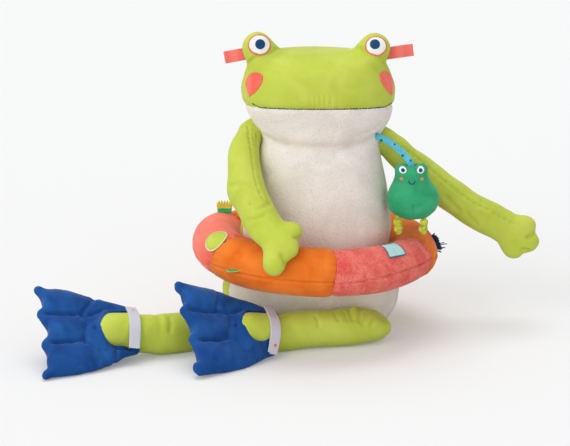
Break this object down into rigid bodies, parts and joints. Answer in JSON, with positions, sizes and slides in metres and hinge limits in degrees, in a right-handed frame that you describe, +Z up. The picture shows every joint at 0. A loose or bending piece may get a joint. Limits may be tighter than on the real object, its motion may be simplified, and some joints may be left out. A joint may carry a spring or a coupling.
{
  "type": "plush frog with swim gear",
  "caption": "Sitting stuffed plush frog with raised eyes, wearing a stuffed swim ring and webbed flippers, with a small plush toy hanging from its neck on a ribbon.",
  "frame": {"origin": "on the flat seat under the torso, at the height of the surface the frog sits on", "axes": "-Y is where the frog faces, +X its own left side, +Z up"},
  "size_m": [0.8063, 0.4763, 0.4923],
  "materials": {
    "lime": "short velour pile",
    "cream": "terry loops",
    "coral": "velour, terry on one ring panel",
    "orange": "short velour pile",
    "blue": "brushed knit",
    "white": "woven elastic and ribbon",
    "navy": "embroidery and cord",
    "forest": "stitching",
    "turquoise": "satin ribbon with spots",
    "green": "short velour pile",
    "yellow": "cotton cord"
  },
  "bodies": {
    "torso": {"belly_panel": "cream", "back_panel": "lime", "chin_panel": "cream", "nape_panel": "lime", "crown": "lime", "mouth_stitching": "forest", "eye_bump_left": "lime", "eye_bump_right": "lime", "eye_white_left": "white", "eye_white_right": "white", "eye_ring_left": "coral", "eye_ring_right": "coral", "pupil_left": "navy", "pupil_right": "navy", "ribbon_tag_left": "coral", "ribbon_tag_right": "coral", "cheek_left": "coral", "cheek_right": "coral"},
    "left_arm": {"arm_left": "lime"},
    "right_arm": {"arm_right": "lime"},
    "left_leg": {"leg_left": "lime"},
    "right_leg": {"leg_right": "lime"},
    "left_flipper": {"flipper_left": "blue", "flipper_strap_left": "white"},
    "right_flipper": {"flipper_right": "blue", "flipper_strap_right": "white"},
    "swim_ring": {"ring_panel_front_left": "orange", "ring_panel_front": "coral", "ring_panel_right": "orange", "ring_panel_back_right": "coral", "ring_panel_back_left": "orange", "ring_panel_left": "coral", "ring_label": "white", "ring_motif": "lime", "leaf_tab": "green", "comb_tag_band": "green", "comb_tag": "yellow", "fringe": "navy"},
    "hanging_toy": {"toy_body": "green", "toy_eye_white_left": "white", "toy_eye_white_right": "white", "toy_pupil_left": "navy", "toy_pupil_right": "navy", "toy_cheek_left": "coral", "toy_cheek_right": "coral", "toy_foot_left": "yellow", "toy_foot_right": "yellow", "toy_strap": "turquoise"}
  },
  "joints": [
    {"name": "arm_left_swing", "type": "hinge", "parent": "torso", "child": "left_arm", "pos_m": [0.1302, 0.01, 0.296], "axis": [0, -1, 0], "range_deg": [-5, 95]},
    {"name": "arm_right_swing", "type": "hinge", "parent": "torso", "child": "right_arm", "pos_m": [-0.1106, -0.005, 0.325], "axis": [-0.4472, 0.8944, 0], "range_deg": [0, 85]},
    {"name": "leg_left_swing", "type": "hinge", "parent": "torso", "child": "left_leg", "pos_m": [0.0876, -0.0937, 0.029], "axis": [0, 0, 1], "range_deg": [0, 100]},
    {"name": "leg_right_swing", "type": "hinge", "parent": "torso", "child": "right_leg", "pos_m": [-0.112, -0.0896, 0.029], "axis": [0, 0, -1], "range_deg": [0, 40]},
    {"name": "flipper_left_pull", "type": "slide", "parent": "left_leg", "child": "left_flipper", "axis": [-0.8594, -0.4744, 0.1908], "range_m": [0, 0.1]},
    {"name": "flipper_right_pull", "type": "slide", "parent": "right_leg", "child": "right_flipper", "axis": [-0.9391, -0.3289, 0.0993], "range_m": [0, 0.1]},
    {"name": "ring_turn", "type": "hinge", "parent": "torso", "child": "swim_ring", "pos_m": [0, 0, 0.1336], "axis": [-0.0506, -0.0174, -0.9986], "range_deg": [0, 30]},
    {"name": "toy_swing", "type": "hinge", "parent": "torso", "child": "hanging_toy", "pos_m": [0.088, -0.039, 0.334], "axis": [-1, 0, 0], "range_deg": [0, 60]}
  ]
}
